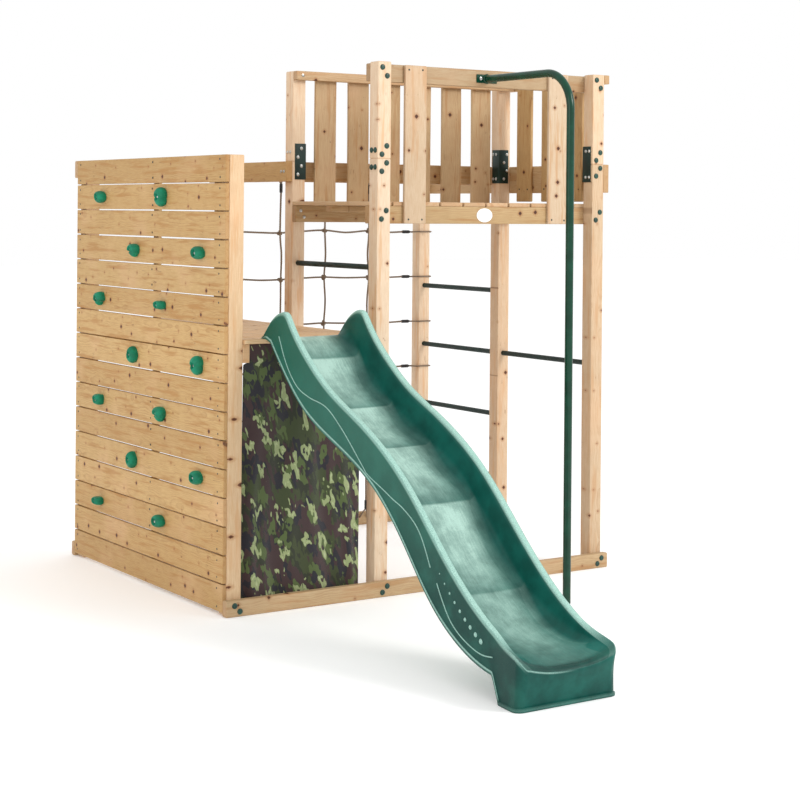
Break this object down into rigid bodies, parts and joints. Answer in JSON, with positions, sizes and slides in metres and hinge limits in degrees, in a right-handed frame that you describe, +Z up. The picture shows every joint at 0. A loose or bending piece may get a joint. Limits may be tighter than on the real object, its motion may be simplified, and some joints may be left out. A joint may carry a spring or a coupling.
{
  "type": "climbing frame",
  "caption": "Free-standing timber climbing frame: wall with moulded holds, den with a fabric curtain, wavy slide, railed high deck, sliding pole, rung ladder and rope net.",
  "frame": {"origin": "on the ground, under the middle of the whole object's box", "axes": "+X along the front to the right, +Y from the slide's foot to the rope net at the back, +Z up"},
  "size_m": [2.0434, 3.246, 2.262],
  "materials": {
    "timber": "planed softwood, pale, with knots",
    "hold_plastic": "satin moulded",
    "slide_plastic": "moulded, scuffed pale on the raised parts",
    "curtain_fabric": "woven, printed in a camouflage pattern",
    "pole_paint": "powder coated, glossy",
    "dark_steel": "powder coated, dark green",
    "bolt_steel": "zinc plated",
    "cap_plastic": "satin",
    "rope": "twisted rope",
    "ferrule_plastic": "ribbed black",
    "badge_plastic": "plain white"
  },
  "bodies": {
    "root": {"back_mid_rail": "timber", "back_slats": "timber", "back_top_rail": "timber", "badge": "badge_plastic", "base_beam_back": "timber", "base_beam_front": "timber", "bolt_caps": "cap_plastic", "bolt_heads": "bolt_steel", "curtain_header": "timber", "fire_pole": "pole_paint", "front_slats": "timber", "front_top_rail": "timber", "grab_bars": "dark_steel", "high_deck_boards": "timber", "high_deck_joists": "timber", "holds_hooked": "hold_plastic", "holds_long": "hold_plastic", "holds_round": "hold_plastic", "ladder_rungs": "dark_steel", "low_deck_boards": "timber", "low_deck_joists": "timber", "net_beam": "timber", "net_ferrules": "ferrule_plastic", "net_knots": "rope", "net_rows": "rope", "net_uprights": "rope", "pole_plate": "pole_paint", "post_back_left": "timber", "post_back_middle": "timber", "post_back_right": "timber", "post_extensions": "timber", "post_front_left": "timber", "post_tower_back_left": "timber", "post_tower_back_right": "timber", "post_tower_front_left": "timber", "post_tower_front_right": "timber", "side_beam": "timber", "side_slats": "timber", "side_top_rail": "timber", "slide": "slide_plastic", "splice_plates": "dark_steel", "tie_beam": "timber", "wall_battens": "timber", "wall_board_01": "timber", "wall_board_02": "timber", "wall_board_03": "timber", "wall_board_04": "timber", "wall_board_05": "timber", "wall_board_06": "timber", "wall_board_07": "timber", "wall_board_08": "timber", "wall_board_09": "timber", "wall_board_10": "timber", "wall_board_11": "timber", "wall_board_12": "timber", "wall_board_13": "timber", "wall_board_14": "timber", "wall_board_15": "timber", "wall_board_16": "timber"},
    "curtain_flap": {"curtain": "curtain_fabric"}
  },
  "joints": [
    {"name": "curtain_swing", "type": "hinge", "parent": "root", "child": "curtain_flap", "pos_m": [-0.603, 0.144, 1.004], "axis": [1, 0, 0], "range_deg": [0, 75]}
  ]
}
